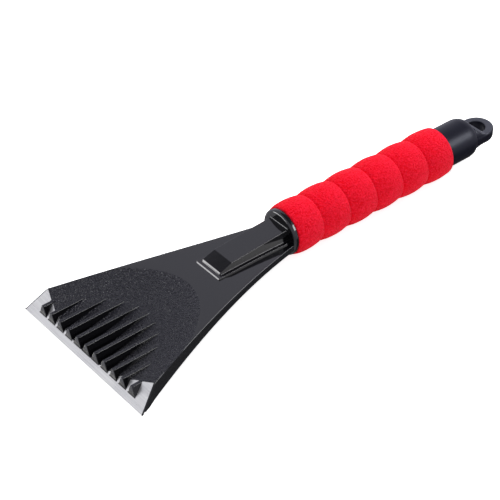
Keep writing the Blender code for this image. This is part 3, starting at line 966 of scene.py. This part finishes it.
def blend(links, add, share, low, high):
    """A colour between low and high, by share. Each of the two is a colour or another node's output."""
    node = add("ShaderNodeMix", data_type="RGBA")
    factor, first, second = (node.inputs[i] for i in MIX_COLOUR_INPUTS)
    links.new(share, factor)
    for colour, socket in ((low, first), (high, second)):
        if isinstance(colour, tuple):
            socket.default_value = colour
        else:
            links.new(colour, socket)
    return node.outputs[MIX_COLOUR_OUTPUT]


def combined(links, add, operation, first, second):
    """The result of a Math node for two values."""
    node = add("ShaderNodeMath", operation=operation)
    links.new(first, node.inputs[0])
    links.new(second, node.inputs[1])
    return node.outputs["Value"]


def noise_texture(links, add, vector, scale, detail):
    """Smooth noise, whose values mostly keep to NOISE_RANGE."""
    node = add("ShaderNodeTexNoise", Scale=scale, Detail=detail)
    links.new(vector, node.inputs["Vector"])
    return node.outputs["Fac"]


def dent(links, add, shader, height, strength, distance):
    """Makes a surface look uneven by a height, up to a distance in metres."""
    bump = add("ShaderNodeBump", Strength=strength, Distance=distance)
    links.new(height, bump.inputs["Height"])
    links.new(bump.outputs["Normal"], shader.inputs["Normal"])


def gloss_plastic():
    material, links, shader, add = new_material("gloss_black_plastic")
    shader.inputs["Base Color"].default_value = (0.004, 0.004, 0.005, 1)
    shader.inputs["IOR"].default_value = 1.5
    fine = noise_texture(links, add, coordinates(links, add), scale=0.35, detail=3.0)
    links.new(ranged(links, add, fine, 0.05, 0.09, *NOISE_RANGE), shader.inputs["Roughness"])
    dent(links, add, shader, fine, strength=0.03, distance=0.0001)
    return material


def grained_plastic():
    material, links, shader, add = new_material("grained_black_plastic")
    shader.inputs["Base Color"].default_value = (0.004, 0.004, 0.008, 1)
    shader.inputs["Specular IOR Level"].default_value = 0.42
    vector = coordinates(links, add)
    cells = add("ShaderNodeTexVoronoi", Scale=0.95, feature="SMOOTH_F1")
    links.new(vector, cells.inputs["Vector"])
    fine = noise_texture(links, add, vector, scale=1.4, detail=2.0)
    height = combined(links, add, "ADD", cells.outputs["Distance"], fine)
    dent(links, add, shader, height, strength=1.0, distance=0.0007)
    links.new(ranged(links, add, fine, 0.20, 0.36, *NOISE_RANGE), shader.inputs["Roughness"])
    return material


def blade_metal():
    material, links, shader, add = new_material("ground_blade_metal")
    shader.inputs["Metallic"].default_value = 1.0
    lines = noise_texture(links, add, coordinates(links, add, (2.2, 0.03, 0.0)), scale=1.0, detail=4.0)
    patches = noise_texture(links, add, coordinates(links, add), scale=0.06, detail=2.0)
    share = ranged(links, add, lines, 0.0, 1.0, *NOISE_RANGE)
    tone = blend(links, add, share, (0.48, 0.48, 0.45, 1), (0.62, 0.62, 0.58, 1))
    links.new(tone, shader.inputs["Base Color"])
    links.new(ranged(links, add, patches, 0.22, 0.34, *NOISE_RANGE), shader.inputs["Roughness"])
    dent(links, add, shader, lines, strength=0.12, distance=0.00005)
    return material


def blade_edge_painted_shade():
    # Nearly black metal on the blade's rounded edges: painted shade along them.
    material, links, shader, add = new_material("blade_edge_painted_shade")
    shader.inputs["Metallic"].default_value = 1.0
    shader.inputs["Base Color"].default_value = (0.06, 0.06, 0.065, 1)
    grit = noise_texture(links, add, coordinates(links, add, (1, 0.2, 1)), scale=1.5, detail=2.0)
    links.new(ranged(links, add, grit, 0.35, 0.55), shader.inputs["Roughness"])
    return material


def painted_lobe_shade(links, add):
    """Place within a swelling of the foam, used as painted shade: 0 (darkest) where it leaves a groove, 0.5
    (palest) where it meets the next one.
    """
    place = add("ShaderNodeTexCoord")
    split = add("ShaderNodeSeparateXYZ")
    links.new(place.outputs["Object"], split.inputs["Vector"])
    first_groove = (FIRST_CREST - LOBE_PITCH / 2 + EDGE_X) * MM
    last_groove = first_groove + LOBES * LOBE_PITCH * MM
    turns = ranged(links, add, split.outputs["X"], 1.0, LOBES + 1.0, first_groove, last_groove)
    part = add("ShaderNodeMath", operation="FRACT")
    links.new(turns, part.inputs[0])
    return ranged(links, add, part.outputs["Value"], 0.0, 0.5)


def foam_red():
    material, links, shader, add = new_material("red_closed_cell_foam")
    vector = coordinates(links, add)
    pores = noise_texture(links, add, vector, scale=1.15, detail=2.0)
    patches = noise_texture(links, add, vector, scale=0.16, detail=2.0)
    pore_share = ranged(links, add, pores, -0.25, 0.75, 0.35, 0.65)
    # The red runs from deep to pale by the pores' random tone plus painted shade that is darkest just
    # behind each groove and pales towards the next.
    share = combined(links, add, "ADD", pore_share, painted_lobe_shade(links, add))
    tone = blend(links, add, share, (0.84, 0.0, 0.010, 1), (1.0, 0.014, 0.046, 1))
    links.new(tone, shader.inputs["Base Color"])
    shader.inputs["Specular IOR Level"].default_value = 0.04
    shader.inputs["Sheen Weight"].default_value = 0.12
    shader.inputs["Sheen Roughness"].default_value = 0.4
    shader.inputs["Sheen Tint"].default_value = (1.0, 0.55, 0.55, 1)
    links.new(ranged(links, add, patches, 0.66, 0.84), shader.inputs["Roughness"])
    dent(links, add, shader, pores, strength=1.0, distance=0.0008)
    return material


def satin_plastic(name, colour, shine):
    material, links, shader, add = new_material(name)
    shader.inputs["Base Color"].default_value = colour
    shader.inputs["Specular IOR Level"].default_value = shine
    shader.inputs["Specular Tint"].default_value = (0.85, 0.88, 1.0, 1)
    fine = noise_texture(links, add, coordinates(links, add), scale=1.6, detail=2.0)
    links.new(ranged(links, add, fine, 0.3, 0.42, *NOISE_RANGE), shader.inputs["Roughness"])
    dent(links, add, shader, fine, strength=0.12, distance=0.00008)
    return material


def tube_metal():
    material, links, shader, add = new_material("drawn_aluminium")
    shader.inputs["Metallic"].default_value = 1.0
    shader.inputs["Base Color"].default_value = (0.6, 0.6, 0.61, 1)
    lines = noise_texture(links, add, coordinates(links, add, (0.02, 2.0, 2.0)), scale=1.0, detail=3.0)
    links.new(ranged(links, add, lines, 0.3, 0.5), shader.inputs["Roughness"])
    return material


# Stage


def floor_material():
    material, links, shader, add = new_material("pale_floor")
    shader.inputs["Base Color"].default_value = (0.9, 0.9, 0.9, 1)
    shader.inputs["Roughness"].default_value = 0.9
    shader.inputs["Specular IOR Level"].default_value = 0.0
    shader.inputs["Emission Color"].default_value = (1, 1, 1, 1)
    path = add("ShaderNodeLightPath")
    seen = ranged(links, add, path.outputs["Is Camera Ray"], 0.0, FLOOR_GLOW)
    links.new(seen, shader.inputs["Emission Strength"])
    return material


def make_floor():
    mesh = bpy.data.meshes.new("floor")
    corners = [(x * FLOOR_REACH, y * FLOOR_REACH) for x, y in ((-1, -1), (1, -1), (1, 1), (-1, 1))]
    mesh.from_pydata([(x, y, -FLOOR_DROP) for x, y in corners], [], [(0, 1, 2, 3)])
    floor = bpy.data.objects.new("floor", mesh)
    bpy.context.scene.collection.objects.link(floor)
    set_materials(floor, floor_material())
    floor.visible_glossy = False


def sky_ramp(add):
    """A colour ramp of the sky's steps, slightly blue but for its first one."""
    ramp = add("ShaderNodeValToRGB")
    elements = ramp.color_ramp.elements
    elements.remove(elements[1])
    first_place, darkest = SKY_STEPS[0]
    elements[0].position = first_place
    elements[0].color = (darkest, darkest, darkest, 1)
    for position, value in SKY_STEPS[1:]:
        elements.new(position).color = (value, value, value * SKY_BLUE, 1)
    return ramp


def make_world():
    """A pale room: a bright ring round a darker ceiling, over a table that is pale on the blade's side."""
    world = bpy.data.worlds.new("studio")
    bpy.context.scene.world = world
    world.use_nodes = True
    links, add = world.node_tree.links, node_adder(world.node_tree)
    place = add("ShaderNodeTexCoord")
    split = add("ShaderNodeSeparateXYZ")
    links.new(place.outputs["Generated"], split.inputs["Vector"])
    ramp = sky_ramp(add)
    links.new(ranged(links, add, split.outputs["Z"], 0.0, 1.0, -1.0, 1.0), ramp.inputs["Fac"])
    blur = (TABLE_SIDE_BLUR, -TABLE_SIDE_BLUR)
    leftness = ranged(links, add, split.outputs["X"], 0.0, 1.0, *blur)
    lowness = ranged(links, add, split.outputs["Z"], 0.0, 1.0, 0.0, -TABLE_EDGE_BLUR)
    table = combined(links, add, "MULTIPLY", leftness, lowness)
    mirrored = blend(links, add, table, ramp.outputs["Color"], TABLE_COLOUR)
    plain_sky = (DIFFUSE_SKY, DIFFUSE_SKY, DIFFUSE_SKY, 1)
    path = add("ShaderNodeLightPath")
    colour = blend(links, add, path.outputs["Is Glossy Ray"], plain_sky, mirrored)
    background = world.node_tree.nodes["Background"]
    background.inputs["Strength"].default_value = 1.0
    links.new(colour, background.inputs["Color"])


def area_light(name, direction, distance, height, power):
    """A soft panel that faces the object from a direction."""
    light = bpy.data.lights.new(name, "AREA")
    light.shape = "RECTANGLE"
    light.size = PANEL_WIDTH
    light.size_y = height
    light.energy = power
    panel = bpy.data.objects.new(name, light)
    bpy.context.scene.collection.objects.link(panel)
    away = Vector(direction).normalized()
    panel.location = away * distance
    panel.rotation_euler = away.to_track_quat("Z", "Y").to_euler()
    panel.visible_camera = False
    return panel


def make_lights():
    """A panel that only diffuse surfaces see, and two that only reflections see."""
    overhead = area_light("overhead_soft", (0.62, 0.25, 0.8), distance=1.6, height=0.9, power=17.0)
    overhead.visible_glossy = False
    for strip in (
        area_light("left_strip", (-0.80, 0.60, 0.0), distance=1.2, height=0.3, power=8.0),
        area_light("right_soft", (0.49, -0.66, 0.52), distance=1.3, height=0.5, power=15.0),
    ):
        strip.visible_diffuse = False


def make_camera():
    """The photograph's viewing angle, with its long lens."""
    azimuth, elevation = math.radians(CAMERA_AZIMUTH), math.radians(CAMERA_ELEVATION)
    level = math.cos(elevation)
    back = Vector((math.sin(azimuth) * level, -math.cos(azimuth) * level, math.sin(elevation)))
    right = Vector((math.cos(azimuth), math.sin(azimuth), 0.0))
    up = back.cross(right)
    camera = bpy.data.cameras.new("camera")
    camera.sensor_width = CAMERA_SENSOR
    camera.lens = CAMERA_LENS
    view = bpy.data.objects.new("camera", camera)
    bpy.context.scene.collection.objects.link(view)
    place = Matrix((right, up, back)).transposed().to_4x4()
    place.translation = Vector(CAMERA_PLACE)
    view.matrix_world = place
    bpy.context.scene.camera = view


def show(piece, node):
    """Puts a finished piece in the place of a CAD node."""
    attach(piece, "root")
    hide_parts(node)


def main():
    show(make_head(gloss_plastic(), grained_plastic()), "scraper_head")
    show(make_blade(blade_metal(), blade_edge_painted_shade()), "blade")
    show(make_foam(foam_red()), "foam_grip")
    satin = satin_plastic("satin_black_plastic", (0.004, 0.004, 0.010, 1), 0.2)
    # A paler, shinier copy of the satin for the loop's upper face: painted light.
    painted_light_satin = satin_plastic("painted_light_satin_plastic", (0.022, 0.023, 0.032, 1), 0.55)
    show(make_cap(satin, painted_light_satin), "end_cap")
    set_materials(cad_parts["handle_tube"], tube_metal())
    make_floor()
    make_world()
    make_lights()
    make_camera()
    bpy.context.scene.view_settings.view_transform = "Standard"


main()
